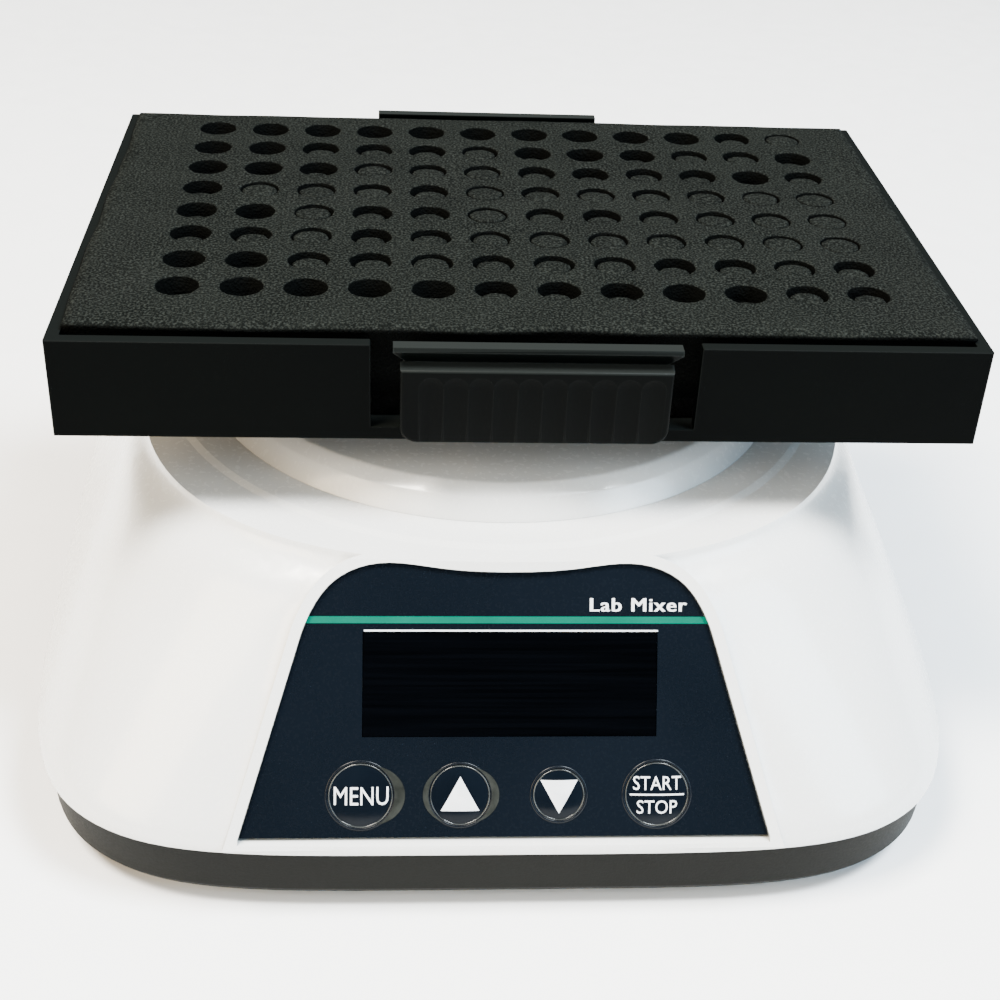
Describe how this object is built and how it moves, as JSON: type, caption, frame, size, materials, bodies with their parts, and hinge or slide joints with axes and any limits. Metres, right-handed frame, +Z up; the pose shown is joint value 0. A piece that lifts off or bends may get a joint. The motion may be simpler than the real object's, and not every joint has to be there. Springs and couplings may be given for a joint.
{
  "type": "vortex mixer",
  "caption": "Bench microplate vortex mixer: foam-lined orbiting tray with spring clips on a weighted housing with a sloping control panel.",
  "frame": {"origin": "on the bench under the motor axis, in the middle of the footprint", "axes": "+X right as seen from the control panel, +Y to the back, +Z up along the motor axis"},
  "size_m": [0.1494, 0.155, 0.0775],
  "materials": {
    "white_shell": "gloss",
    "dark_base": "matte",
    "foot_rubber": "matte",
    "black_tray": "satin",
    "clip_plastic": "satin",
    "foam": "matte",
    "overlay_film": "gloss",
    "window_glass": "gloss",
    "key_film": "gloss",
    "legend_white": "printed ink",
    "legend_teal": "printed ink",
    "steel": "brushed",
    "screw_steel": "bright",
    "spring_steel": "bright",
    "alloy": "machined",
    "bronze": "satin",
    "brass": "satin",
    "magnet": "satin",
    "coils": "enamelled",
    "board": "satin",
    "black_plastic": "satin",
    "display_frame": "matte"
  },
  "bodies": {
    "housing": {"top_housing": "white_shell", "base_shell": "dark_base", "rubber_feet": "foot_rubber", "foot_screws": "screw_steel", "housing_screws": "screw_steel", "ballast_plate": "steel", "bracket_pillars": "alloy", "motor_bracket": "steel", "bracket_screws": "screw_steel", "motor_can": "steel", "motor_bearings": "steel", "motor_stator": "coils", "motor_screws": "screw_steel", "bracket_bushes": "bronze", "dust_collar": "foot_rubber", "panel_overlay": "overlay_film", "display_window": "window_glass", "display_module": "display_frame", "control_board": "board", "board_screws": "screw_steel", "tact_switches": "black_plastic", "power_switch_body": "black_plastic", "dc_socket": "black_plastic", "dc_socket_pin": "brass", "dc_socket_nut": "steel"},
    "rotor": {"motor_shaft": "steel", "motor_magnet": "magnet", "eccentric_weight": "steel", "eccentric_set_screw": "screw_steel", "crank_pin": "steel", "crank_pin_screw": "screw_steel", "bearing_inner_ring": "steel"},
    "platform": {"tray_carrier": "alloy", "carrier_bushes": "bronze", "bearing_outer_ring": "steel", "bearing_balls": "steel", "bearing_retainer": "spring_steel", "tray": "black_tray", "tray_screws": "screw_steel", "clip_pins": "spring_steel", "clip_springs": "spring_steel"},
    "idler_left": {"idler_crank_left": "steel"},
    "idler_right": {"idler_crank_right": "steel"},
    "foam": {"foam_insert": "foam"},
    "front_clip": {"front_clip": "clip_plastic"},
    "back_clip": {"back_clip": "clip_plastic"},
    "key_menu": {"key_menu": "key_film"},
    "key_up": {"key_up": "key_film"},
    "key_down": {"key_down": "key_film"},
    "key_start_stop": {"key_start_stop": "key_film"},
    "power_rocker": {"power_rocker": "black_plastic"}
  },
  "joints": [
    {"name": "rotor_spin", "type": "hinge", "parent": "housing", "child": "rotor", "pos_m": [0, 0, 0.04], "axis": [0, 0, 1], "continuous": true},
    {"name": "platform_orbit", "type": "hinge", "parent": "rotor", "child": "platform", "pos_m": [0.002, 0, 0.0505], "axis": [0, 0, 1], "continuous": true},
    {"name": "idler_left_spin", "type": "hinge", "parent": "housing", "child": "idler_left", "pos_m": [-0.03, 0, 0.035], "axis": [0, 0, 1], "continuous": true},
    {"name": "idler_right_spin", "type": "hinge", "parent": "housing", "child": "idler_right", "pos_m": [0.03, 0, 0.035], "axis": [0, 0, 1], "continuous": true},
    {"name": "foam_lift", "type": "slide", "parent": "platform", "child": "foam", "axis": [0, 0, 1], "range_m": [0, 0.03]},
    {"name": "front_clip_tilt", "type": "hinge", "parent": "platform", "child": "front_clip", "pos_m": [0.0034, -0.0444, 0.065], "axis": [1, 0, 0], "range_deg": [0, 12], "stiffness_Nm_per_rad": 0.12, "springref_deg": -5.73},
    {"name": "back_clip_tilt", "type": "hinge", "parent": "platform", "child": "back_clip", "pos_m": [0.0006, 0.0444, 0.065], "axis": [-1, 0, 0], "range_deg": [0, 12], "stiffness_Nm_per_rad": 0.12, "springref_deg": -5.73},
    {"name": "key_menu_press", "type": "slide", "parent": "housing", "child": "key_menu", "axis": [0, 0.8607, -0.509], "range_m": [0, 0.0004], "stiffness_N_per_m": 1500, "springref_m": -0.0002},
    {"name": "key_up_press", "type": "slide", "parent": "housing", "child": "key_up", "axis": [0, 0.8607, -0.509], "range_m": [0, 0.0004], "stiffness_N_per_m": 1500, "springref_m": -0.0002},
    {"name": "key_down_press", "type": "slide", "parent": "housing", "child": "key_down", "axis": [0, 0.8607, -0.509], "range_m": [0, 0.0004], "stiffness_N_per_m": 1500, "springref_m": -0.0002},
    {"name": "key_start_stop_press", "type": "slide", "parent": "housing", "child": "key_start_stop", "axis": [0, 0.8607, -0.509], "range_m": [0, 0.0004], "stiffness_N_per_m": 1500, "springref_m": -0.0002},
    {"name": "power_rocker_tilt", "type": "hinge", "parent": "housing", "child": "power_rocker", "pos_m": [-0.013, 0.065, 0.0225], "axis": [-1, 0, 0], "range_deg": [0, 14]}
  ],
  "couplings": [
    {"joint": "platform_orbit", "follows": "rotor_spin", "ratio": -1},
    {"joint": "idler_left_spin", "follows": "rotor_spin", "ratio": 1},
    {"joint": "idler_right_spin", "follows": "rotor_spin", "ratio": 1}
  ]
}
